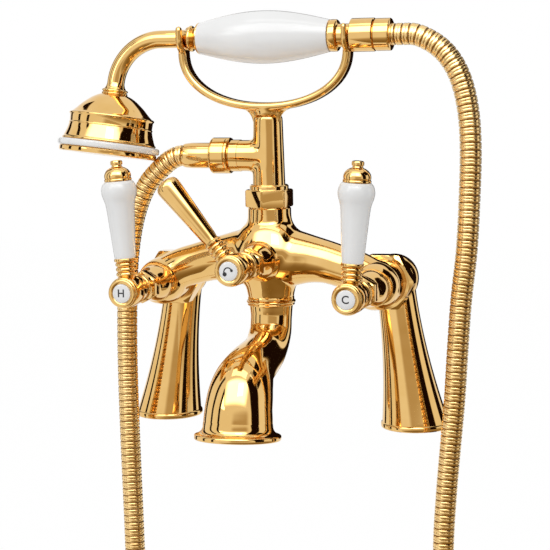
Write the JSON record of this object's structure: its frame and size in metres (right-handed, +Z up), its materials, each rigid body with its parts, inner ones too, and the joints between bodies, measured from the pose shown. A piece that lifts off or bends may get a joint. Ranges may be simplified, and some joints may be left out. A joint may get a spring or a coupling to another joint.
{
  "type": "bath shower mixer",
  "caption": "Deck-standing bath shower mixer with flared legs, lever valves, diverter, swan spout and a cradled hand shower on a ribbed hose, gold with white porcelain.",
  "frame": {"origin": "on the deck, midway between the two feet", "axes": "+X to the right as the user sees it, -Y towards the user, +Z up"},
  "size_m": [0.2889, 0.1555, 0.7172],
  "materials": {
    "gold": "polished gold plate on brass",
    "hose_gold": "polished gold ribbed hose",
    "porcelain": "white glaze",
    "raw_brass": "machined",
    "disc_ceramic": "lapped",
    "steel": "stainless",
    "rubber": "black",
    "fibre": "pressed red fibre"
  },
  "bodies": {
    "root": {"leg_left": "gold", "leg_right": "gold", "foot_seals": "rubber", "union_nut_left": "gold", "union_nut_right": "gold", "union_washers": "fibre", "mixer_body": "gold", "spout": "gold", "spout_collar": "gold", "spout_nipple": "raw_brass", "spout_seal": "rubber", "bonnet_hot": "gold", "bonnet_cold": "gold", "bonnet_diverter": "gold", "cartridge_hot": "raw_brass", "cartridge_cold": "raw_brass", "cartridge_seals": "rubber", "fixed_discs": "disc_ceramic", "diverter_sleeve": "raw_brass", "riser_nut": "gold", "riser_column": "gold", "check_valve": "steel", "cradle": "gold", "hose_collar_nut": "gold", "hose_ferrule": "gold", "shower_hose": "hose_gold"},
    "hot_lever": {"moving_disc_hot": "disc_ceramic", "spindle_hot": "raw_brass", "lever_hub_hot": "gold", "lever_grip_hot": "porcelain", "finial_hot": "gold", "handle_screw_hot": "steel", "index_bezel_hot": "gold", "index_disc_hot": "porcelain"},
    "cold_lever": {"moving_disc_cold": "disc_ceramic", "spindle_cold": "raw_brass", "lever_hub_cold": "gold", "lever_grip_cold": "porcelain", "finial_cold": "gold", "handle_screw_cold": "steel", "index_bezel_cold": "gold", "index_disc_cold": "porcelain"},
    "diverter": {"diverter_spindle": "raw_brass", "diverter_rings": "rubber", "diverter_lever": "gold", "handle_screw_diverter": "steel", "index_bezel_diverter": "gold", "index_disc_diverter": "porcelain"},
    "handset": {"hand_grip": "porcelain", "hand_tube": "raw_brass", "hand_front_collar": "gold", "hand_rear_collar": "gold", "hand_arm": "gold", "hand_bell": "gold", "hand_spreader": "raw_brass", "hand_ring": "porcelain", "hand_plate": "gold", "hose_upper_nut": "gold", "hose_insert": "raw_brass", "hose_washer": "rubber"}
  },
  "joints": [
    {"name": "hot_lever_turn", "type": "hinge", "parent": "root", "child": "hot_lever", "pos_m": [-0.075, -0.101, 0.101], "axis": [0, -1, 0], "range_deg": [0, 90]},
    {"name": "cold_lever_turn", "type": "hinge", "parent": "root", "child": "cold_lever", "pos_m": [0.075, -0.101, 0.101], "axis": [0, 1, 0], "range_deg": [0, 90]},
    {"name": "diverter_turn", "type": "hinge", "parent": "root", "child": "diverter", "pos_m": [0, -0.105, 0.1175], "axis": [0, 1, 0], "range_deg": [0, 90]},
    {"name": "handset_lift", "type": "slide", "parent": "root", "child": "handset", "axis": [0, 0, 1], "range_m": [0, 0.06], "deforming": ["shower_hose"]}
  ]
}
